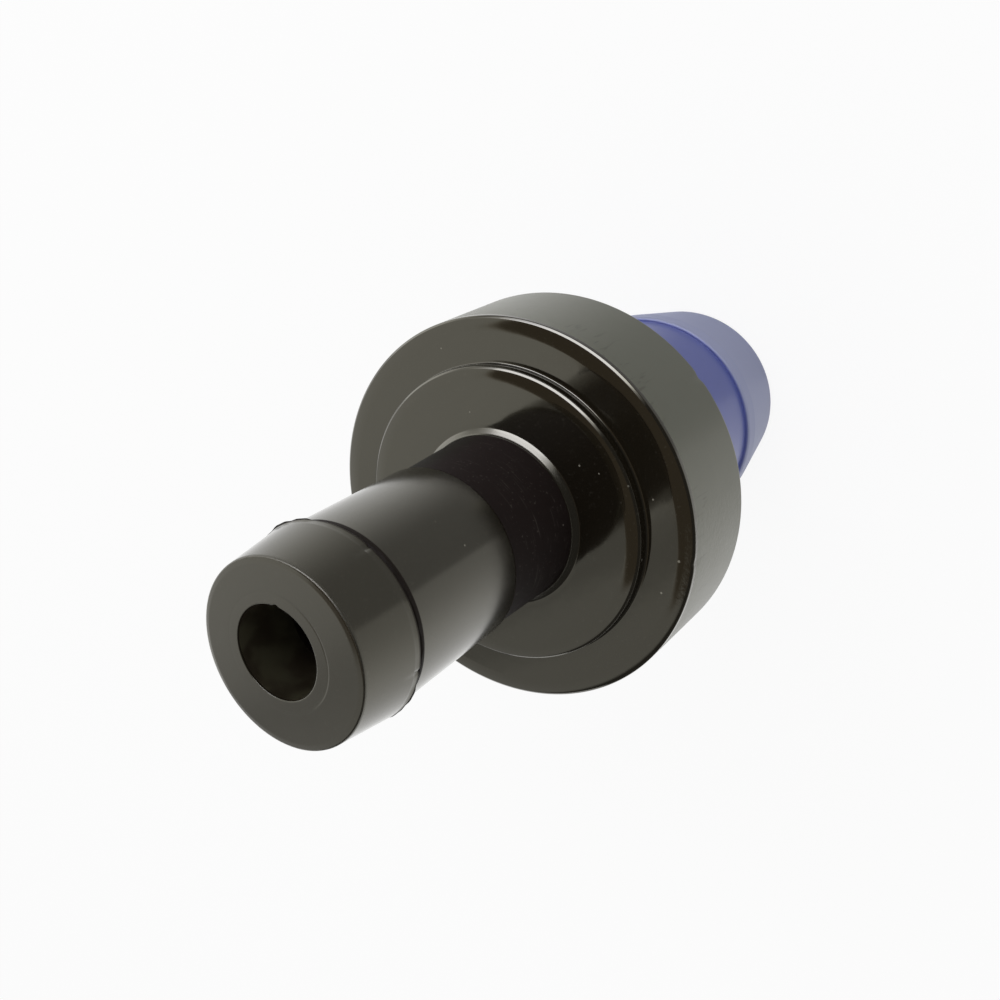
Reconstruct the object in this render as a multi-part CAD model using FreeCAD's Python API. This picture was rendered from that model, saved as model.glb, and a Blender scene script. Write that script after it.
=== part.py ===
import FreeCAD, Part
import math
import os

# A sealed crankcase ventilation valve, standing on its inlet end with the hose nipple up.
# Millimetres. Z is the valve's axis. The origin is the middle of the flat inlet end.

# Lengths along the axis, outside
snout_length = 9.8
inlet_neck_length = 16.0
drum_length = 8.4
disc_step = 1.0
outlet_neck_length = 7.0
hose_tube_length = 11.5
barb_length = 3.8
barb_land = 0.5

# Radii, outside
snout_end_radius = 8.05
snout_crest_radius = 9.3
snout_land = 1.5
inlet_neck_radius = 8.95
inlet_neck_flare = 0.15
drum_radius = 14.0
drum_draft = 0.2
disc_radius = 10.7
disc_draft = 0.1
outlet_neck_step = 0.2
outlet_neck_flare = 0.8
hose_tube_radius = 5.9
hose_tube_draft = 0.05
barb_height = 0.2
nipple_end_radius = 5.6

# Edge rounds and fillets, outside
snout_round = 0.6
snout_shoulder_round = 0.3
drum_front_round = 0.5
drum_back_round = 0.3
disc_round = 0.25
neck_fillet = 0.55
tube_end_round = 0.4
nipple_round = 0.3
inlet_fillet = 0.8

# Passages in the outlet body
outlet_bore_radius = 2.8
outlet_bore_depth = 16.5
throat_radius = 2.5
throat_lead = 0.6
spring_pocket_radius = 4.9
spring_seat_above_disc = 1.8
pocket_lead = 1.5
chamber_end = 0.4

# Walls of the drum
skirt_wall = 1.85
cap_recess = 0.6
sleeve_wall = 1.5
drum_front_wall = 2.0
core_ledge = 0.5

# Inlet cap
inlet_bore_radius = 6.2
inlet_bore_depth = 9.0
seat_web = 2.0
seat_hole_radius = 3.6
seat_chamfer = 0.4
chamber_radius = 6.4
flange_thickness = 2.6
flange_gap = 0.1
spigot_wall = 1.7
spigot_length = 2.8
spigot_gap = 0.1
spigot_end_gap = 0.3

# Plunger
plunger_travel = 7.0
seat_gap = 0.05
guide_gap = 0.3
guide_thickness = 2.2
notch_count = 4
notch_radius = 1.5
pilot_gap = 0.4
pilot_length = 1.5
pilot_taper = 0.5
stem_gap = 0.45
stem_end_gap = 0.8
tip_gap = 0.35
tip_reach = 2.0
tip_end_radius = 1.2
tip_round = 0.4

# Spring
wire_radius = 0.35
spring_pocket_gap = 0.35
active_coils = 5.0
end_coils = 1.25
end_coil_gap = 0.03
runs_per_turn = 12

# Heights, from the inlet end up
z_crest = snout_length
z_drum_back = z_crest + inlet_neck_length
z_ring = z_drum_back + drum_length
z_disc = z_ring + disc_step
z_tube = z_disc + outlet_neck_length
z_barb = z_tube + hose_tube_length
z_top = z_barb + barb_length
z_seat = inlet_bore_depth + seat_web
z_flange = z_drum_back + cap_recess
z_joint = z_flange + flange_thickness
z_spigot = z_joint + spigot_length
z_socket = z_spigot + spigot_end_gap
z_spring_seat = z_disc + spring_seat_above_disc
z_throat_top = z_top - outlet_bore_depth
z_guide = z_seat + seat_gap
z_spring_foot = z_guide + guide_thickness

# Radii that follow from the ones above
outlet_neck_radius = hose_tube_radius - outlet_neck_step
barb_radius = hose_tube_radius + barb_height
flange_radius = drum_radius + drum_draft - skirt_wall - flange_gap
spigot_radius = chamber_radius + spigot_wall
socket_radius = spigot_radius + spigot_gap
core_inner_radius = socket_radius + sleeve_wall
core_outer_radius = flange_radius + flange_gap - core_ledge
coil_radius = spring_pocket_radius - spring_pocket_gap - wire_radius


def turned(outline):
    """A solid of revolution about Z. Each outline item is (radius, height), or a pair of such points for an arc:
    the point in the middle of the arc, then its end. A point that repeats the last one adds nothing."""
    edges = []
    start = FreeCAD.Vector(outline[0][0], 0, outline[0][1])
    first = start
    for item in outline[1:]:
        arc = isinstance(item[0], tuple)
        radius, height = item[1] if arc else item
        end = FreeCAD.Vector(radius, 0, height)
        if end.distanceToPoint(start) < 1e-6:
            continue
        if arc:
            middle = FreeCAD.Vector(item[0][0], 0, item[0][1])
            edges.append(Part.Arc(start, middle, end).toShape())
        else:
            edges.append(Part.LineSegment(start, end).toShape())
        start = end
    edges.append(Part.LineSegment(start, first).toShape())
    face = Part.Face(Part.Wire(edges))
    return face.revolve(FreeCAD.Vector(0, 0, 0), FreeCAD.Vector(0, 0, 1), 360)


def ring_edges(shape, radius, height):
    """The circular edges of the shape that lie at this radius and height."""
    found = []
    for edge in shape.Edges:
        box = edge.BoundBox
        flat = box.ZLength < 1e-4 and abs(box.ZMin - height) < 1e-3
        if flat and abs(box.XMax - radius) < 1e-3 and abs(box.XMin + radius) < 1e-3:
            found.append(edge)
    return found


def round_edge(shape, size, radius, height):
    """The shape with a fillet on the circular edge at this radius and height."""
    return shape.makeFillet(size, ring_edges(shape, radius, height))


def nipple_and_drum():
    """The outside of the outlet body as one turned form, from the skirt's back rim to the end of the nipple."""
    back_radius = drum_radius + drum_draft
    neck_foot = outlet_neck_radius + outlet_neck_flare
    tube_foot = hose_tube_radius + hose_tube_draft
    drop = min(tube_foot - outlet_neck_radius, tube_end_round)
    turn = math.acos(1 - drop / tube_end_round)
    round_length = tube_end_round * math.sin(turn)
    round_middle = (
        tube_foot - tube_end_round * (1 - math.cos(turn / 2)),
        z_tube + round_length - tube_end_round * math.sin(turn / 2),
    )
    form = turned([
        (0, z_drum_back),
        (back_radius, z_drum_back),
        (drum_radius, z_ring),
        (disc_radius + disc_draft, z_ring),
        (disc_radius, z_disc),
        (neck_foot, z_disc),
        (outlet_neck_radius, z_tube),
        (tube_foot - drop, z_tube),
        (round_middle, (tube_foot, z_tube + round_length)),
        (hose_tube_radius, z_barb - barb_land),
        (barb_radius, z_barb - barb_land),
        (barb_radius, z_barb),
        (nipple_end_radius, z_top),
        (0, z_top),
    ])
    form = round_edge(form, drum_back_round, back_radius, z_drum_back)
    form = round_edge(form, drum_front_round, drum_radius, z_ring)
    form = round_edge(form, disc_round, disc_radius, z_disc)
    form = round_edge(form, neck_fillet, neck_foot, z_disc)
    form = round_edge(form, nipple_round, nipple_end_radius, z_top)
    return form


def outlet_passage():
    """The hollow that runs through the outlet body: socket, chamber, spring pocket, throat and outlet bore."""
    return turned([
        (0, z_joint),
        (socket_radius, z_joint),
        (socket_radius, z_socket),
        (chamber_radius, z_socket),
        (chamber_radius, z_socket + chamber_end),
        (spring_pocket_radius, z_socket + chamber_end + pocket_lead),
        (spring_pocket_radius, z_spring_seat),
        (throat_radius + throat_lead, z_spring_seat),
        (throat_radius, z_spring_seat + throat_lead),
        (throat_radius, z_throat_top),
        (outlet_bore_radius, z_throat_top + outlet_bore_radius - throat_radius),
        (outlet_bore_radius, z_top),
        (0, z_top),
    ])


def flange_seat():
    """The round recess in the skirt that holds the cap's flange."""
    radius = flange_radius + flange_gap
    return turned([(0, z_drum_back), (radius, z_drum_back), (radius, z_joint), (0, z_joint)])


def core_ring():
    """The ring cored out of the drum between its skirt and the sleeve round the spigot."""
    top = z_ring - drum_front_wall
    return turned([
        (core_inner_radius, z_joint),
        (core_outer_radius, z_joint),
        (core_outer_radius, top),
        (core_inner_radius, top),
    ])


def outlet_body():
    """The black half: nipple, neck, raised disc and drum, moulded in one piece."""
    body = nipple_and_drum().cut(flange_seat())
    body = body.cut(outlet_passage())
    return body.cut(core_ring())


def inlet_cap():
    """The blue half: snout, neck, flange and spigot, moulded in one piece with the inlet seat inside."""
    neck_root = inlet_neck_radius + inlet_neck_flare
    form = turned([
        (inlet_bore_radius, 0),
        (snout_end_radius, 0),
        (snout_crest_radius, z_crest - snout_land),
        (snout_crest_radius, z_crest),
        (inlet_neck_radius, z_crest),
        (neck_root, z_flange),
        (flange_radius, z_flange),
        (flange_radius, z_joint),
        (spigot_radius, z_joint),
        (spigot_radius, z_spigot),
        (chamber_radius, z_spigot),
        (chamber_radius, z_seat),
        (seat_hole_radius + seat_chamfer, z_seat),
        (seat_hole_radius, z_seat - seat_chamfer),
        (seat_hole_radius, inlet_bore_depth),
        (inlet_bore_radius, inlet_bore_depth),
    ])
    form = round_edge(form, snout_round, snout_end_radius, 0)
    form = round_edge(form, snout_shoulder_round, snout_crest_radius, z_crest)
    return round_edge(form, inlet_fillet, neck_root, z_flange)


def plunger():
    """The turned pintle: pilot, notched guide flange, stem and the taper that meters the flow."""
    pilot_radius = seat_hole_radius - pilot_gap
    guide_radius = chamber_radius - guide_gap
    stem_radius = coil_radius - wire_radius - stem_gap
    taper_foot = throat_radius - tip_gap
    z_stem = z_spring_seat - plunger_travel - stem_end_gap
    z_tip = z_spring_seat + tip_reach
    form = turned([
        (0, z_guide - pilot_length),
        (pilot_radius - pilot_taper, z_guide - pilot_length),
        (pilot_radius, z_guide),
        (guide_radius, z_guide),
        (guide_radius, z_spring_foot),
        (stem_radius, z_spring_foot),
        (stem_radius, z_stem),
        (taper_foot, z_stem),
        (tip_end_radius, z_tip),
        (0, z_tip),
    ])
    form = round_edge(form, tip_round, tip_end_radius, z_tip)
    for number in range(notch_count):
        notch = Part.makeCylinder(notch_radius, guide_thickness, FreeCAD.Vector(guide_radius, 0, z_guide))
        notch.rotate(FreeCAD.Vector(0, 0, 0), FreeCAD.Vector(0, 0, 1), 360 * number / notch_count)
        form = form.cut(notch)
    return form


def coil_point(turn, z_foot, z_seat):
    """The middle of the spring's wire after this many turns. The end coils lie close, the others are open."""
    all_coils = active_coils + 2 * end_coils
    end_pitch = 2 * wire_radius + end_coil_gap
    open_pitch = (z_seat - z_foot - 2 * end_coils * end_pitch) / active_coils
    if turn < end_coils:
        height = z_foot + end_pitch * turn
    elif turn < end_coils + active_coils:
        height = z_foot + end_pitch * end_coils + open_pitch * (turn - end_coils)
    else:
        height = z_seat - end_pitch * (all_coils - turn)
    angle = 2 * math.pi * turn
    return FreeCAD.Vector(coil_radius * math.cos(angle), coil_radius * math.sin(angle), height)


def plunger_spring():
    """The compression spring: round wire in short runs, twelve a turn, with its closed ends ground flat."""
    all_coils = active_coils + 2 * end_coils
    runs = round(all_coils * runs_per_turn)
    path = [coil_point(all_coils * n / runs, z_spring_foot, z_spring_seat) for n in range(runs + 1)]
    section = Part.Wire(Part.makeCircle(wire_radius, path[0], path[1] - path[0]))
    mitred_corners = 1
    spring = Part.makePolygon(path).makePipeShell([section], True, False, mitred_corners)
    across = 4 * spring_pocket_radius
    corner = FreeCAD.Vector(-across / 2, -across / 2, z_spring_foot - across)
    below = Part.makeBox(across, across, across, corner)
    above = below.translated(FreeCAD.Vector(0, 0, z_spring_seat - z_spring_foot + across))
    return spring.cut(below).cut(above)


parts = {
    "outlet_body": outlet_body(),
    "inlet_cap": inlet_cap(),
    "plunger": plunger(),
    "plunger_spring": plunger_spring(),
}

os.makedirs("parts", exist_ok=True)
for name, shape in parts.items():
    shape.exportStep("parts/" + name + ".step")
    print(name, "solids", len(shape.Solids), "valid", shape.isValid(), "volume", round(shape.Volume, 1))
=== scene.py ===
import math
import bpy
import numpy as np
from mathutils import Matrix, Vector


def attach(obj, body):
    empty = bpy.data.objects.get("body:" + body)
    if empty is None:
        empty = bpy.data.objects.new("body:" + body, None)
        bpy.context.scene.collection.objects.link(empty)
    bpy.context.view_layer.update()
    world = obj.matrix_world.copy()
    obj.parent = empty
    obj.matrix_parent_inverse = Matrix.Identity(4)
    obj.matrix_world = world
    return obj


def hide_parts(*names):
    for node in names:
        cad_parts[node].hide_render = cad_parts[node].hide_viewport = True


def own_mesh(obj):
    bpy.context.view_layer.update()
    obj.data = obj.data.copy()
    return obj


# A crankcase ventilation valve: a black outlet half, a blue inlet half, and a sprung plunger inside.
# Sizes are in millimetres here and become metres when a mesh is made. Z is the valve's axis.
mm = 0.001

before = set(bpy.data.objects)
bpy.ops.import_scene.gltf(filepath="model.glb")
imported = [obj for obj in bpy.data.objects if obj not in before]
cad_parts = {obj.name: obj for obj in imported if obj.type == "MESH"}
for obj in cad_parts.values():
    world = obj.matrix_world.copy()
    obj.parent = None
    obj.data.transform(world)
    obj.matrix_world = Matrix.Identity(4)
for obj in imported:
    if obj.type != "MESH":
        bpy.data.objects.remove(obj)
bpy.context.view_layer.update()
print("frame loaded", sorted(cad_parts))


def unit(vectors):
    # Each vector divided by its own length.
    return vectors / np.linalg.norm(vectors, axis=1, keepdims=True)


def rise(values, low, high):
    # 0 below low and 1 above high, with the cubic t t (3 - 2 t) between.
    share = np.clip((values - low) / (high - low), 0, 1)
    return share * share * (3 - 2 * share)


def band(values, start, full, end, gone):
    # 1 from full to end, 0 before start and after gone, smooth between.
    return rise(values, start, full) * (1 - rise(values, end, gone))


def roundedOutline(corners, arcSteps, hold=0.04, longest=1.0):
    # A closed outline from corners of (radius, height, round). Each corner becomes an arc that touches both
    # of its sides, a point is held just before and just after it, and long sides are divided.
    corners = np.array(corners, float)
    at, size = corners[:, :2], corners[:, 2:3]
    before = unit(np.roll(at, 1, 0) - at)
    after = unit(np.roll(at, -1, 0) - at)
    half = np.arccos(np.clip((before * after).sum(1, keepdims=True), -1, 1)) / 2
    middle = at + unit(before + after) * size / np.sin(half)
    reach = size / np.tan(half)
    start, end = at + before * reach, at + after * reach
    sideLength = np.linalg.norm(np.roll(at, -1, 0) - at, axis=1, keepdims=True)
    free = sideLength - reach - np.roll(reach, -1, 0)
    holdAfter = np.minimum(hold, 0.3 * free)
    holdBefore = np.roll(holdAfter, 1, 0)
    # An arc's point is its start and end, seen from the middle, mixed by sin((1 - k) sweep) and sin(k sweep).
    sweep = (math.pi - 2 * half)[:, :, None]
    k = np.linspace(0, 1, arcSteps)[None, :, None]
    fromStart = (start - middle)[:, None, :] * np.sin((1 - k) * sweep)
    fromEnd = (end - middle)[:, None, :] * np.sin(k * sweep)
    arcs = middle[:, None, :] + (fromStart + fromEnd) / np.sin(sweep)
    heldBefore = (start + before * holdBefore)[:, None, :]
    heldAfter = (end + after * holdAfter)[:, None, :]
    line = np.concatenate([heldBefore, arcs, heldAfter], axis=1).reshape(-1, 2)
    following = np.roll(line, -1, 0)
    parts = np.ceil(np.linalg.norm(following - line, axis=1) / longest).astype(int)
    first = np.repeat(np.cumsum(parts) - parts, parts)
    side = np.repeat(np.arange(len(line)), parts)
    share = ((np.arange(parts.sum()) - first) / parts[side])[:, None]
    return line[side] * (1 - share) + following[side] * share


def gridQuads(rows, columns, closed=True):
    # The faces of a grid that closes on itself along each row, and down each column too where closed is true.
    row, column = np.meshgrid(np.arange(rows if closed else rows - 1), np.arange(columns), indexing="ij")
    here, below = row * columns, (row + 1) % rows * columns
    beside = (column + 1) % columns
    return np.stack([here + column, here + beside, below + beside, below + column], -1).reshape(-1, 4)


def makePiece(name, points, faces):
    mesh = bpy.data.meshes.new(name)
    mesh.from_pydata((points * mm).tolist(), [], faces)
    mesh.polygons.foreach_set("use_smooth", np.ones(len(mesh.polygons), bool))
    mesh.update()
    piece = bpy.data.objects.new(name, mesh)
    bpy.context.collection.objects.link(piece)
    return piece


def turnedPiece(name, sizes, corners, shape=None):
    # Point (u, v) of the grid is the outline's point v, turned by angle u round Z, after shape has moved it:
    # x = radius cos(angle), y = radius sin(angle), z = height.
    outline = roundedOutline(corners, sizes["arcSteps"])
    rows, turns = len(outline), sizes["turns"]
    angle = np.repeat(np.linspace(-math.pi, math.pi, turns, endpoint=False)[None, :], rows, 0)
    radius = np.repeat(outline[:, :1], turns, 1)
    height = np.repeat(outline[:, 1:], turns, 1)
    x, y, z = radius * np.cos(angle), radius * np.sin(angle), height
    if shape:
        x, y, z = shape(radius, angle, height)
    points = np.stack([x, y, z], -1).reshape(-1, 3)
    print(name, "outline points", rows, "triangles", 2 * rows * turns)
    return makePiece(name, points, gridQuads(rows, turns).tolist())


outlet = dict(
    top=57.5, endRadius=5.6, endFlat=5.26, endFall=0.06, endRound=0.12,
    grooveRadius=3.5, grooveDepth=0.012, grooveHalf=0.07,
    barbTop=53.7, barbLand=0.5, barbRadius=6.1, undercutRadius=5.6, undercutLength=0.44,
    tubeRadius=5.9, tubeFoot=42.65, tubeFootRadius=5.95, tubeEndRound=0.2,
    neckRadius=5.75, neckFootRadius=6.0, flareRadius=6.42, flareHeight=0.34,
    disc=35.2, discFlat=10.05, discEdge=10.53, discRadius=10.69, discFall=0.1, discFootRadius=10.71,
    ring=34.2, ringDish=0.03, ringFlat=13.3, ringEdge=13.81, rimFall=0.12,
    facetFall=0.125, facetRound=0.08, crownRound=3.2,
    drumRadius=13.97, back=25.8, backRadius=14.2, backRound=0.3,
    skirtInside=12.35, joint=29.0, coreOuter=11.85, coreInner=9.7, coreTop=32.2,
    socketRadius=8.2, socket=32.1, chamberRadius=6.4, chamberTop=32.5,
    pocketFoot=34.0, pocketRadius=4.9, springSeat=37.0,
    leadRadius=3.1, throatRadius=2.5, throatFoot=37.6, throatTop=41.0,
    boreRadius=2.8, boreFoot=41.3, boreRound=0.04, boreShift=(0.2, 0.24), boreShiftFoot=44.0,
    crisp=0.05, soft=0.1, turns=336, arcSteps=4,
)
barbFoot = outlet["barbTop"] - outlet["barbLand"]

# Marks on the black half, by the angle in degrees round the axis. A nick is (angle, width, depth).
flaws = dict(
    lipReach=0.06, flashFrom=-22.0, flashTo=24.0, flashReach=0.16, backFlashFrom=-136.0, backFlashReach=0.1,
    barbNicks=((-58.0, 0.14, 0.1), (-130.5, 0.12, 0.1)), boreChip=(-33.0, 0.16, 0.1),
    rimNick=(-122.0, 0.3, 0.06), backNick=(-78.0, 0.3, 0.12),
    seamWander=0.3, grooveMiddle=-100.0, grooveFades=(40.0, 75.0),
)


def outletCorners(s):
    # A round that has no name of its own is crisp or soft.
    crisp, soft = s["crisp"], s["soft"]
    discFacet = s["disc"] - s["discFall"]
    ringRim = s["ring"] + s["ringDish"]
    rimFacet = ringRim - s["rimFall"]
    return [
        (s["boreRadius"], s["top"], s["boreRound"]),
        (s["grooveRadius"] - s["grooveHalf"], s["top"], 0.02),
        (s["grooveRadius"], s["top"] - s["grooveDepth"], 0.02),
        (s["grooveRadius"] + s["grooveHalf"], s["top"], 0.02),
        (s["endFlat"], s["top"], 0.5),
        (s["endRadius"], s["top"] - s["endFall"], s["endRound"]),
        (s["barbRadius"], s["barbTop"], 0.12),
        (s["barbRadius"], barbFoot, crisp),
        (s["undercutRadius"], barbFoot - 0.06, crisp),
        (s["tubeRadius"], barbFoot - s["undercutLength"], 0.08),
        (s["tubeFootRadius"], s["tubeFoot"], s["tubeEndRound"]),
        (s["neckRadius"], s["tubeFoot"] - 0.02, 0.04),
        (s["neckFootRadius"], s["disc"] + s["flareHeight"], 0.25),
        (s["flareRadius"], s["disc"], 0.08),
        (s["discFlat"], s["disc"], s["crownRound"]),
        (s["discEdge"], discFacet, s["facetRound"]),
        (s["discRadius"], discFacet - s["facetFall"], s["facetRound"]),
        (s["discFootRadius"], s["ring"] - s["ringDish"], 0.15),
        (s["ringFlat"], ringRim, s["crownRound"]),
        (s["ringEdge"], rimFacet, s["facetRound"]),
        (s["drumRadius"], rimFacet - s["facetFall"], s["facetRound"]),
        (s["backRadius"], s["back"], s["backRound"]),
        (s["skirtInside"], s["back"], soft),
        (s["skirtInside"], s["joint"], crisp),
        (s["coreOuter"], s["joint"], crisp),
        (s["coreOuter"], s["coreTop"], 0.2),
        (s["coreInner"], s["coreTop"], 0.2),
        (s["coreInner"], s["joint"], crisp),
        (s["socketRadius"], s["joint"], soft),
        (s["socketRadius"], s["socket"], crisp),
        (s["chamberRadius"], s["socket"], crisp),
        (s["chamberRadius"], s["chamberTop"], crisp),
        (s["pocketRadius"], s["pocketFoot"], soft),
        (s["pocketRadius"], s["springSeat"], soft),
        (s["leadRadius"], s["springSeat"], crisp),
        (s["throatRadius"], s["throatFoot"], soft),
        (s["throatRadius"], s["throatTop"], soft),
        (s["boreRadius"], s["boreFoot"], soft),
    ]


def nick(radius, angle, mark):
    # A bell round one angle: depth times exp of minus (distance along the circumference / width) squared.
    middle, width, depth = mark
    away = (angle - math.radians(middle) + math.pi) % (2 * math.pi) - math.pi
    return depth * np.exp(-(radius * away / width) ** 2)


def outletShape(radius, angle, height):
    # The outline is moved a little: flash pushes it out, nicks push it in, and the bore leans off the axis.
    s, m = outlet, flaws
    degrees = np.degrees(angle)
    ragged = 0.6 + 0.2 * np.sin(7 * angle + 1) + 0.13 * np.sin(19 * angle) + 0.07 * np.sin(43 * angle + 2)
    outsideTube = radius > s["tubeRadius"] + 0.1

    # Flash stands out from the barb's lip all round, and further over two stretches of it.
    start, end = m["flashFrom"], m["flashTo"]
    flash = m["flashReach"] * band(degrees, start, start + 8, end - 2, end)
    backFlash = m["backFlashReach"] * (1 - rise(degrees, m["backFlashFrom"] - 10, m["backFlashFrom"]))
    lip = outsideTube * band(height, barbFoot - 0.1, barbFoot, barbFoot + 0.02, barbFoot + 0.16)
    out = lip * ragged * (m["lipReach"] + flash + backFlash)

    barbSide = outsideTube * band(height, barbFoot - 0.2, barbFoot, barbFoot + 0.3, barbFoot + 0.6)
    for mark in m["barbNicks"]:
        out = out - barbSide * nick(radius, angle, mark)
    rim = (radius > s["drumRadius"] - 0.37) * rise(height, s["ring"] - 1.0, s["ring"] - 0.4)
    out = out - rim * nick(radius, angle, m["rimNick"])
    backEdge = (radius > s["backRadius"] - 0.4) * (1 - rise(height, s["back"] + 0.1, s["back"] + 0.8))
    out = out - backEdge * nick(radius, angle, m["backNick"])
    mouth = (radius < s["boreRadius"] + 0.15) * rise(height, s["top"] - 0.5, s["top"])
    out = out + mouth * nick(radius, angle, m["boreChip"])

    # The undercut's foot wanders up and down, and the fine groove on the end face fades on its far side.
    undercut = (radius > s["undercutRadius"] - 0.2) * ~outsideTube
    undercut = undercut * band(height, barbFoot - 1.0, barbFoot - 0.7, barbFoot - 0.45, barbFoot - 0.25)
    groove = (np.abs(radius - s["grooveRadius"]) < 0.05) * (height > s["top"] - 0.1)
    filled = s["grooveDepth"] * groove * rise(np.abs(degrees - m["grooveMiddle"]), *m["grooveFades"])
    z = height + m["seamWander"] * (ragged - 0.5) * undercut + filled

    lean = np.clip((height - s["boreShiftFoot"]) / (s["top"] - s["boreShiftFoot"]), 0, 1)
    lean = lean * np.clip((s["endRadius"] - radius) / (s["endRadius"] - s["boreRadius"]), 0, 1)
    x = (radius + out) * np.cos(angle) + s["boreShift"][0] * lean
    y = (radius + out) * np.sin(angle) + s["boreShift"][1] * lean
    return x, y, np.minimum(z, s["top"])


outletShell = turnedPiece("outletShell", outlet, outletCorners(outlet), outletShape)
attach(outletShell, "housing")
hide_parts("outlet_body")


inlet = dict(
    endRadius=8.05, endRound=0.6, crestRadius=9.3, crest=9.8, shoulderRound=0.3, land=1.5,
    neckRadius=8.95, neckRootRadius=9.1, fillet=0.8,
    flange=26.4, flangeRadius=12.25, joint=29.0, spigotRadius=8.1, spigot=31.8,
    boreRadius=6.2, boreDepth=9.0, chamberRadius=6.4,
    seat=11.0, seatRadius=4.0, seatHole=3.6, seatChamfer=0.4,
    crisp=0.05, soft=0.1, turns=256, arcSteps=6,
)


def inletCorners(s):
    crisp, soft = s["crisp"], s["soft"]
    return [
        (s["boreRadius"], 0, soft),
        (s["boreRadius"], s["boreDepth"], soft),
        (s["seatHole"], s["boreDepth"], crisp),
        (s["seatHole"], s["seat"] - s["seatChamfer"], crisp),
        (s["seatRadius"], s["seat"], crisp),
        (s["chamberRadius"], s["seat"], soft),
        (s["chamberRadius"], s["spigot"], soft),
        (s["spigotRadius"], s["spigot"], soft),
        (s["spigotRadius"], s["joint"], crisp),
        (s["flangeRadius"], s["joint"], crisp),
        (s["flangeRadius"], s["flange"], 0.15),
        (s["neckRootRadius"], s["flange"], s["fillet"]),
        (s["neckRadius"], s["crest"], 0.03),
        (s["crestRadius"], s["crest"], s["shoulderRound"]),
        (s["crestRadius"], s["crest"] - s["land"], 0.3),
        (s["endRadius"], 0, s["endRound"]),
    ]


inletShell = turnedPiece("inletShell", inlet, inletCorners(inlet))
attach(inletShell, "housing")
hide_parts("inlet_cap")


spring = dict(
    coilRadius=4.2, wireRadius=0.35, foot=13.25, seat=37.0, travel=7.0,
    openCoils=5.0, endCoils=1.25, endPitch=0.73, stepsPerTurn=48, ringSteps=12,
)
springLength = spring["seat"] - spring["foot"]


def springPiece(s):
    # Point (u, v) lies at angle v round a wire whose middle climbs with the turn u, slowly in the closed end
    # coils and fast between. Both ends are ground flat, so no point lies past the spring's foot or seat.
    endRise = s["endCoils"] * s["endPitch"]
    allCoils = s["openCoils"] + 2 * s["endCoils"]
    turn = np.linspace(0, allCoils, int(allCoils * s["stepsPerTurn"]) + 1)
    turnsAt = [0, s["endCoils"], allCoils - s["endCoils"], allCoils]
    middle = s["foot"] + np.interp(turn, turnsAt, [0, endRise, springLength - endRise, springLength])
    angle = 2 * math.pi * turn[:, None]
    around = np.linspace(0, 2 * math.pi, s["ringSteps"], endpoint=False)[None, :]
    radius = s["coilRadius"] + s["wireRadius"] * np.cos(around)
    z = np.clip(middle[:, None] + s["wireRadius"] * np.sin(around), s["foot"], s["seat"])
    points = np.stack([radius * np.cos(angle), radius * np.sin(angle), z], -1).reshape(-1, 3)
    rows, columns = len(turn), s["ringSteps"]
    faces = gridQuads(rows, columns, closed=False)[:, [0, 3, 2, 1]].tolist()
    faces.append(list(range(columns)))
    faces.append(list(range(rows * columns - 1, (rows - 1) * columns - 1, -1)))
    print("coilSpring rings", rows)
    return makePiece("coilSpring", points, faces)


coilSpring = springPiece(spring)
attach(coilSpring, "housing")
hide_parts("plunger_spring")
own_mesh(coilSpring)
print("pieces made")


class Wire:
    # A socket that makes a Math node when it is used in an expression.
    def __init__(self, finish, socket):
        self.finish, self.socket = finish, socket

    def math(self, operation, *others):
        return self.finish.math(operation, self, *others)

    def __add__(self, other):
        return self.math("ADD", other)

    def __sub__(self, other):
        return self.math("SUBTRACT", other)

    def __rsub__(self, other):
        return self.finish.math("SUBTRACT", other, self)

    def __mul__(self, other):
        return self.math("MULTIPLY", other)

    __radd__ = __add__
    __rmul__ = __mul__


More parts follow.
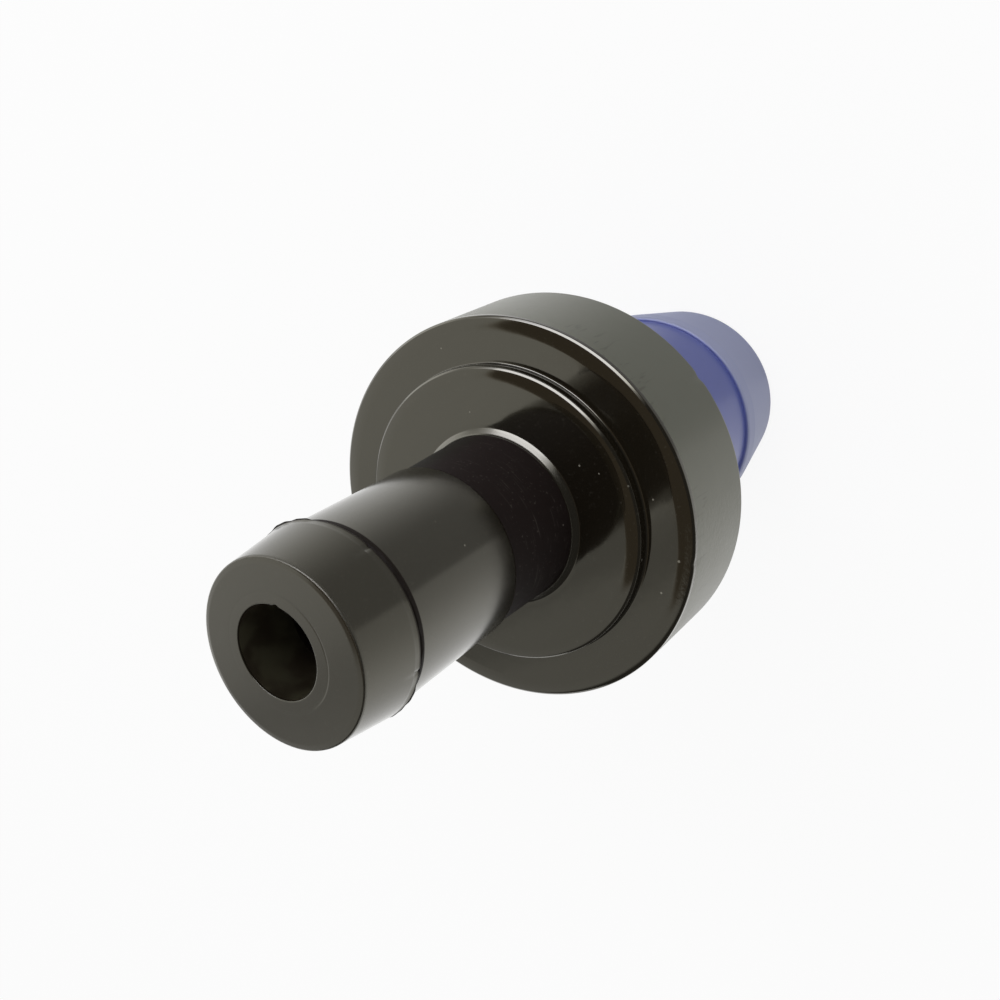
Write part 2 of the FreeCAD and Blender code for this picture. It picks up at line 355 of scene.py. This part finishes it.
class Finish:
    # The nodes of a material or of the world. Values are in millimetres and radians.
    def __init__(self, name, owner=None):
        self.owner = owner or bpy.data.materials.new(name)
        self.owner.use_nodes = True
        self.tree = self.owner.node_tree
        self.tree.nodes.clear()

    def node(self, kind, settings=None, sockets=None, out=0):
        # Any node, from its type, its settings and the value or link of each socket.
        made = self.tree.nodes.new(kind)
        for name, value in (settings or {}).items():
            setattr(made, name, value)
        for name, value in (sockets or {}).items():
            if isinstance(value, Wire):
                self.tree.links.new(value.socket, made.inputs[name])
            else:
                made.inputs[name].default_value = value
        return Wire(self, made.outputs[out])

    def outputs(self, kind, *names):
        # Several outputs of one node.
        made = self.tree.nodes.new(kind)
        return [Wire(self, made.outputs[name]) for name in names]

    def math(self, operation, *values):
        return self.node("ShaderNodeMath", {"operation": operation}, dict(enumerate(values)))

    def mix(self, share, first, second):
        # A colour between two, by share.
        return self.node("ShaderNodeMix", {"data_type": "RGBA"}, {0: share, 6: first, 7: second}, out=2)

    def step(self, value, low, high):
        # 0 below low, 1 above high, smooth between.
        limits = {"Value": value, "From Min": low, "From Max": high}
        return self.node("ShaderNodeMapRange", {"interpolation_type": "SMOOTHSTEP"}, limits)

    def band(self, value, start, full, end, gone):
        # 1 from full to end, 0 before start and after gone, smooth between.
        return self.step(value, start, full) * (1 - self.step(value, end, gone))

    def split(self, vector):
        parts = self.outputs("ShaderNodeSeparateXYZ", "X", "Y", "Z")
        self.tree.links.new(vector.socket, parts[0].socket.node.inputs[0])
        return parts

    def place(self):
        # The point in millimetres, with its radius, angle and height.
        inMetres, = self.outputs("ShaderNodeTexCoord", "Object")
        point = self.node("ShaderNodeVectorMath", {"operation": "MULTIPLY"}, {0: inMetres, 1: (1 / mm,) * 3})
        x, y, z = self.split(point)
        return point, (x * x + y * y).math("SQRT"), y.math("ARCTAN2", x), z

    def noise(self, point, scale, detail=3, rough=0.5, stretch=(1, 1, 1)):
        where = self.node("ShaderNodeVectorMath", {"operation": "MULTIPLY"}, {0: point, 1: stretch})
        grain = {"Vector": where, "Scale": scale, "Detail": detail, "Roughness": rough}
        return self.node("ShaderNodeTexNoise", None, grain)

    def specks(self, point, places):
        # 1 inside any of the small balls that places lists.
        total = None
        for angle, radius, height, size in places:
            turn = math.radians(angle)
            middle = (radius * math.cos(turn), radius * math.sin(turn), height)
            away = self.node("ShaderNodeVectorMath", {"operation": "DISTANCE"}, {0: point, 1: middle}, out=1)
            ball = 1 - self.step(away, 0.4 * size, size)
            total = ball if total is None else total.math("MAXIMUM", ball)
        return total

    def rays(self):
        # Whether a ray comes from the camera, and whether it comes from a glossy surface.
        return self.outputs("ShaderNodeLightPath", "Is Camera Ray", "Is Glossy Ray")

    def close(self, surface):
        isMaterial = isinstance(self.owner, bpy.types.Material)
        output = self.tree.nodes.new("ShaderNodeOutputMaterial" if isMaterial else "ShaderNodeOutputWorld")
        self.tree.links.new(surface.socket, output.inputs[0])
        return self.owner


def paint(piece, material):
    piece.data.materials.clear()
    piece.data.materials.append(material)


black = dict(
    gloss=(0.0075, 0.006, 0.004, 1), glossSpeckle=(0.035, 0.032, 0.026, 1), reflection=(1.0, 0.96, 0.78, 1),
    # The side colour is painted light: the drum's side gets a far paler base than the rest of the black
    # nylon, standing in for the light it catches.
    side=(0.07, 0.074, 0.058, 1), sideStreak=(0.04, 0.042, 0.032, 1),
    # The bore's two colours are painted light: paler than the black nylon where little light reaches, the
    # paler one standing in for glints.
    borePaintedLight=(0.018, 0.014, 0.009, 1), borePaintedGlint=(0.034, 0.031, 0.019, 1),
    # The neck's two tones are a painted reflection: one side is tinted greenish, the other warm.
    dull=(0.01, 0.007, 0.005, 1), neckWarm=(0.0105, 0.0068, 0.006, 1), neckGreenishReflection=(0.008, 0.0095, 0.0055, 1),
    neckScratch=(0.045, 0.04, 0.034, 1), dustOnGloss=(0.2, 0.19, 0.16, 1), dustOnDull=(0.2, 0.18, 0.16, 1),
    roughness=0.13, sideRoughness=0.22, facePolish=0.085, flareRoughness=0.05, endRoughness=0.25,
    boreRoughness=0.15, dullRoughness=0.6, reliefDepth=0.1, swell=0.05, wallTicks=0.02, raggedRim=0.35,
)

# Dust specks that lie on the black half: angle in degrees, radius, height, size.
dustPlaces = (
    (-96, 10.6, 35.15, 0.13), (-124, 10.75, 34.7, 0.12), (-122, 13.0, 34.2, 0.12), (-134, 12.3, 34.2, 0.1),
    (-5, 12.3, 34.2, 0.07), (-13, 7.6, 35.2, 0.07), (-81, 8.0, 35.2, 0.09), (-88, 9.0, 35.2, 0.07),
    (-96, 5.9, 36.2, 0.1), (-103, 11.5, 34.2, 0.09), (-108, 6.0, 36.5, 0.08), (-52, 5.95, 40.2, 0.07),
    (-57, 5.9, 40.8, 0.07), (-140, 5.98, 37.0, 0.07), (-84, 5.92, 46.8, 0.07), (-64, 5.9, 47.6, 0.05),
)


def blackMasks(f, radius, height):
    # Where each surface of the black half lies: 1 on it and 0 off it.
    top, ring, disc, drum = (outlet[name] for name in ("top", "ring", "disc", "drumRadius"))
    flareRadius, barbRadius, tubeFoot = (outlet[name] for name in ("flareRadius", "barbRadius", "tubeFoot"))
    side = f.step(radius, drum - 0.17, drum - 0.02) * (1 - f.step(height, ring - 0.6, ring - 0.4))
    face = f.band(height, ring - 0.3, ring - 0.2, disc + 0.05, disc + 0.15) * (1 - side)
    neck = f.band(height, disc + 0.35, disc + 0.52, tubeFoot - 0.2, tubeFoot)
    neck = neck * (1 - f.step(radius, flareRadius + 0.28, flareRadius + 0.58))
    flare = f.band(height, disc - 0.05, disc + 0.02, disc + 0.4, disc + 0.55)
    flare = flare * (1 - f.step(radius, flareRadius + 0.2, flareRadius + 0.28))
    endEdge = f.step(height, top - 0.3, top - 0.2)
    endEdge = endEdge * f.step(radius, outlet["endRadius"] - 0.1, outlet["endRadius"] - 0.05)
    undercut = f.band(height, barbFoot - 0.7, barbFoot - 0.6, barbFoot, barbFoot + 0.05)
    undercut = undercut * (1 - f.step(radius, barbRadius - 0.1, barbRadius - 0.04))
    lip = f.band(height, barbFoot - 0.15, barbFoot - 0.1, barbFoot + 0.04, barbFoot + 0.18)
    lip = lip * f.step(radius, barbRadius - 0.1, barbRadius - 0.06)
    flash = f.step(radius, barbRadius + 0.07, barbRadius + 0.1)
    flash = flash * f.step(height, barbFoot - 1.2, barbFoot - 1.1)
    bore = 1 - f.step(radius, outlet["boreRadius"] + 0.5, outlet["boreRadius"] + 0.6)
    bore = bore * (1 - f.step(height, top - 0.15, top - 0.05))
    dull = (neck + undercut + 0.8 * lip + flash).math("MINIMUM", 1.0)
    return side, face, neck, flare, endEdge, bore, dull


def blackRelief(f, point, radius, angle, height):
    # A slight swell everywhere, fine ticks on the disc's wall, and a ragged stretch of the ring by the rim.
    b, ring, disc = black, outlet["ring"], outlet["disc"]
    ticks = (angle * 170 + height * 6).math("SINE") * f.band(angle, -1.25, -1.1, -0.6, -0.5)
    wall = f.band(height, ring + 0.05, ring + 0.2, disc - 0.25, disc - 0.2)
    wall = wall * f.step(radius, outlet["discRadius"] - 0.09, outlet["discRadius"] - 0.04)
    ragged = f.noise(point, 2.5, 4, 0.7) * f.band(angle, -2.4, -2.2, -1.95, -1.85)
    ragged = ragged * f.step(radius, outlet["ringFlat"] - 0.1, outlet["ringFlat"] + 0.3)
    relief = b["swell"] * f.noise(point, 0.5, 2) + b["wallTicks"] * ticks * wall + b["raggedRim"] * ragged
    sockets = {"Strength": 1.0, "Distance": b["reliefDepth"] * mm, "Height": relief}
    return f.node("ShaderNodeBump", None, sockets)


def blackNylon():
    # Glossy moulded nylon, with a dull neck and dull flash.
    f = Finish("blackNylon")
    b = black
    point, radius, angle, height = f.place()
    side, face, neck, flare, endEdge, bore, dullPart = blackMasks(f, radius, height)
    grain = f.noise(point, 1.5, 4)
    filmAndGlintPatches = f.noise(point, 0.45, 3)
    dust = f.specks(point, dustPlaces)

    # Streaks run along the drum's side near its rim, scratches run round the neck. Speckle is on the rest.
    nearRim = f.step(height, outlet["ring"] - 4.7, outlet["ring"] - 1.7) * side
    streakPatch = f.step(f.noise(point, 0.3, 1), 0.44, 0.54) * nearRim
    streaks = f.step(f.noise(point, 3.5, 2, 0.6, (1, 1, 0.12)), 0.58, 0.68) * streakPatch
    scratchPatch = f.step(f.noise(point, 0.6, 1), 0.44, 0.56) * neck
    scratches = f.step(f.noise(point, 1.0, 3, 0.7, (0.4, 0.4, 9)), 0.57, 0.7) * scratchPatch
    speckle = f.step(f.noise(point, 5.5, 1), 0.67, 0.75) * (1 - side) * (1 - bore)

    # Painted light in the bore: a lifted base colour stands in for the light inside it, and noise patches of
    # a paler one stand in for glints.
    boreTonePaintedLight = f.mix(f.step(filmAndGlintPatches, 0.45, 0.6), b["borePaintedLight"], b["borePaintedGlint"])
    # Painted light: the drum's side takes its paler colour so it reads lit; the darker streaks on it are
    # moulding marks.
    glossyTone = f.mix(side, b["gloss"], f.mix(streaks, b["side"], b["sideStreak"]))
    glossyTone = f.mix(0.5 * speckle, glossyTone, b["glossSpeckle"])
    glossyTone = f.mix(bore, glossyTone, boreTonePaintedLight)
    glossyTone = f.mix(dust, glossyTone, b["dustOnGloss"])
    # Painted reflection: round the axis the neck turns from warm to greenish, standing in for a greenish
    # reflection on that side.
    neckTone = f.mix(f.step(angle, -0.6, 0.3), b["neckWarm"], b["neckGreenishReflection"])
    marks = (0.7 * scratches + 0.75 * speckle).math("MINIMUM", 1.0)
    dullTone = f.mix(neck, b["dull"], f.mix(marks, neckTone, b["neckScratch"]))
    dullTone = f.mix(dust, dullTone, b["dustOnDull"])

    roughness = b["roughness"] + b["sideRoughness"] * side - b["facePolish"] * face
    roughness = roughness + b["flareRoughness"] * flare + b["endRoughness"] * endEdge
    roughness = roughness + b["boreRoughness"] * bore + 0.04 * grain + 0.03 * filmAndGlintPatches
    bump = blackRelief(f, point, radius, angle, height)
    glossy = f.node("ShaderNodeBsdfPrincipled", None, {
        "Base Color": glossyTone, "Roughness": roughness, "Normal": bump, "IOR": 1.5,
        "Specular IOR Level": 0.95, "Specular Tint": b["reflection"],
    })
    dull = f.node("ShaderNodeBsdfPrincipled", None, {
        "Base Color": dullTone, "Roughness": b["dullRoughness"], "Normal": bump, "Specular IOR Level": 0.1,
    })
    return f.close(f.node("ShaderNodeMixShader", None, {0: dullPart, 1: glossy, 2: dull}))


blue = dict(
    dark=(0.06, 0.078, 0.26, 1), pale=(0.078, 0.096, 0.3, 1), snout=(0.34, 0.36, 0.46, 1), snoutShare=0.62,
    roughness=0.32, snoutRoughness=0.2,
)


def blueNylon():
    # Blue moulded nylon, with a paler and duller snout.
    f = Finish("blueNylon")
    b = blue
    point, radius, angle, height = f.place()
    grain = f.noise(point, 1.2, 4)
    snout = 1 - f.step(height, inlet["crest"] - 0.1, inlet["crest"])
    tone = f.mix(b["snoutShare"] * snout, f.mix(grain, b["dark"], b["pale"]), b["snout"])
    return f.close(f.node("ShaderNodeBsdfPrincipled", None, {
        "Base Color": tone, "Roughness": b["roughness"] + 0.08 * grain + b["snoutRoughness"] * snout,
        "IOR": 1.5, "Specular IOR Level": 0.8,
    }))


def steel(name, color, roughness, stretch):
    # Bare steel whose turning or drawing lines vary its tone and roughness a little.
    f = Finish(name)
    point, radius, angle, height = f.place()
    lines = f.noise(point, 2.0, 3, 0.6, stretch)
    darker = tuple(0.8 * part for part in color[:3]) + (1,)
    return f.close(f.node("ShaderNodeBsdfPrincipled", None, {
        "Base Color": f.mix(lines, darker, color), "Metallic": 1.0, "Roughness": roughness + 0.15 * lines,
    }))


paint(outletShell, blackNylon())
paint(inletShell, blueNylon())
paint(coilSpring, steel("springSteel", (0.55, 0.55, 0.56, 1), 0.25, (1, 1, 1)))
paint(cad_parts["plunger"], steel("turnedSteel", (0.62, 0.61, 0.58, 1), 0.25, (0.2, 0.2, 8)))
print("materials made")


# Angles are in degrees. Directions in the room are parts of a unit vector: x, y, or z for the height.
studio = dict(
    floorSize=3000.0, floorWhite=0.92, cameraGlow=0.88,
    floorBright=1.25, floorMiddle=0.75, floorDark=0.4, darkFrom=-98.0, darkTo=-50.0, brightFrom=30.0,
    evenLevel=0.72, roomLevel=0.08, softboxLevel=1.1, softboxDim=0.6, softboxEdge=-0.55,
    softboxFront=(0.1, 0.3), softboxTurn=(-0.25, 0.02),
    bar=(-0.2, -0.185, -0.16, -0.14), barLevel=0.6, windowLevel=2.3, windowTop=0.3,
    ceiling=0.85, ceilingLevel=0.2, ceilingTint=(1, 0.82, 0.62, 1),
    stripLevel=6.0, stripTint=(0.98, 1.0, 1.24, 1), stripLow=0.4, stripHigh=0.79,
    stripFrom=-60.0, stripTo=12.0,
    lampAzimuth=-27.0, lampElevation=42.0, lampDistance=0.4, lampLength=0.42, lampWidth=0.11, lampPower=0.4,
)


def stageFloor(s):
    # A plain pale floor. For glossy rays it glows instead, with painted light whose level is set by azimuth:
    # dark on the camera's side, a step lighter past darkFrom, and rising to bright behind the valve.
    half = s["floorSize"] / 2
    points = np.array([(-half, -half, 0), (half, -half, 0), (half, half, 0), (-half, half, 0)], float)
    floor = makePiece("stageFloor", points, [[0, 1, 2, 3]])
    f = Finish("paleFloor")
    point, radius, angle, height = f.place()
    cameraRay, glossyRay = f.rays()
    nearEdge, nearStart = math.radians(s["darkFrom"]), math.radians(s["darkFrom"] - 3)
    behind = f.step(angle, math.radians(s["darkTo"]), math.radians(s["brightFrom"]))
    near = 1 - f.step(angle, nearStart, nearEdge)
    left = 1 - f.step(angle, math.radians(s["darkFrom"] - 70), nearStart)
    level = s["floorDark"] + (s["floorMiddle"] - s["floorDark"]) * near
    level = level + (s["floorBright"] - s["floorMiddle"]) * left
    level = level + (s["floorBright"] - s["floorDark"]) * behind
    white = (s["floorWhite"], s["floorWhite"], s["floorWhite"], 1)
    plain = f.node("ShaderNodeBsdfDiffuse", None, {"Color": white})
    glow = f.node("ShaderNodeEmission", None, {"Strength": 1.0})
    paintedGlow = f.node("ShaderNodeEmission", None, {"Strength": level})
    inCamera = f.node("ShaderNodeMixShader", None, {0: cameraRay * s["cameraGlow"], 1: plain, 2: glow})
    paint(floor, f.close(f.node("ShaderNodeMixShader", None, {0: glossyRay, 1: inCamera, 2: paintedGlow})))


def studioWorld(s):
    # The room is even, and glossy surfaces mirror it in more detail: a wide softbox behind the valve with a
    # bright window low in it and a darker bar down it, a brown ceiling, and a strip right of the camera.
    world = bpy.data.worlds.new("studioWorld")
    bpy.context.scene.world = world
    f = Finish("studioWorld", world)
    direction, = f.outputs("ShaderNodeTexCoord", "Generated")
    x, y, z = f.split(direction)
    softbox = f.step(y, *s["softboxFront"]) * f.step(x, s["softboxEdge"] - 0.03, s["softboxEdge"] + 0.03)
    softbox = softbox * (s["softboxDim"] + (1 - s["softboxDim"]) * f.step(x, *s["softboxTurn"]))
    softbox = softbox * (1 - (1 - s["barLevel"]) * f.band(x, *s["bar"]))
    window = softbox * (1 - f.step(z, s["windowTop"] - 0.1, s["windowTop"]))
    above = f.step(z, s["ceiling"] - 0.006, s["ceiling"] + 0.012)
    stripTurns = [math.radians(s["stripFrom"] - 15), math.radians(s["stripFrom"] + 15)]
    stripTurns += [math.radians(s["stripTo"] - 15), math.radians(s["stripTo"] + 15)]
    strip = f.band(y.math("ARCTAN2", x), *stripTurns)
    strip = strip * f.band(z, s["stripLow"] - 0.1, s["stripLow"] + 0.1, s["stripHigh"] - 0.02, s["stripHigh"])
    wall = s["roomLevel"] + (s["softboxLevel"] - s["roomLevel"]) * softbox
    wall = wall + (s["windowLevel"] - s["softboxLevel"]) * window
    level = wall * (1 - above) + s["ceilingLevel"] * above + s["stripLevel"] * strip
    tint = f.mix(strip, f.mix(above, (1, 1, 1, 1), s["ceilingTint"]), s["stripTint"])
    cameraRay, glossyRay = f.rays()
    even = f.node("ShaderNodeBackground", None, {"Color": (1, 1, 1, 1), "Strength": s["evenLevel"]})
    mirrored = f.node("ShaderNodeBackground", None, {"Color": tint, "Strength": level})
    white = f.node("ShaderNodeBackground", None, {"Color": (1, 1, 1, 1), "Strength": 1.0})
    light = f.node("ShaderNodeMixShader", None, {0: glossyRay, 1: even, 2: mirrored})
    f.close(f.node("ShaderNodeMixShader", None, {0: cameraRay, 1: light, 2: white}))


def addLamp(s):
    # A long level lamp to the right of the camera, turned to the valve's foot.
    turn, lift = math.radians(s["lampAzimuth"]), math.radians(s["lampElevation"])
    direction = Vector((math.cos(lift) * math.cos(turn), math.cos(lift) * math.sin(turn), math.sin(lift)))
    data = bpy.data.lights.new("softLamp", "AREA")
    data.shape = "RECTANGLE"
    data.size, data.size_y, data.energy = s["lampLength"], s["lampWidth"], s["lampPower"]
    lamp = bpy.data.objects.new("softLamp", data)
    lamp.location = direction * s["lampDistance"]
    lamp.rotation_euler = direction.to_track_quat("Z", "Y").to_euler()
    bpy.context.collection.objects.link(lamp)


# The camera stands where the photo was taken from: its place in metres and its turn in degrees.
view = dict(
    location=(0.00777, -0.04548, 0.09476), turn=(-18.208, 33.851, -120.562),
    lens=38.811, sensor=36.0, shiftX=0.06, shiftY=-0.08, clipStart=0.005, clipEnd=10,
)


def addCamera(v):
    data = bpy.data.cameras.new("photoCamera")
    data.lens, data.sensor_width = v["lens"], v["sensor"]
    data.shift_x, data.shift_y = v["shiftX"], v["shiftY"]
    data.clip_start, data.clip_end = v["clipStart"], v["clipEnd"]
    camera = bpy.data.objects.new("photoCamera", data)
    camera.location = v["location"]
    camera.rotation_euler = [math.radians(part) for part in v["turn"]]
    bpy.context.collection.objects.link(camera)
    bpy.context.scene.camera = camera


stageFloor(studio)
studioWorld(studio)
addLamp(studio)
addCamera(view)
bpy.context.scene.view_settings.view_transform = "Standard"

print("stage made")
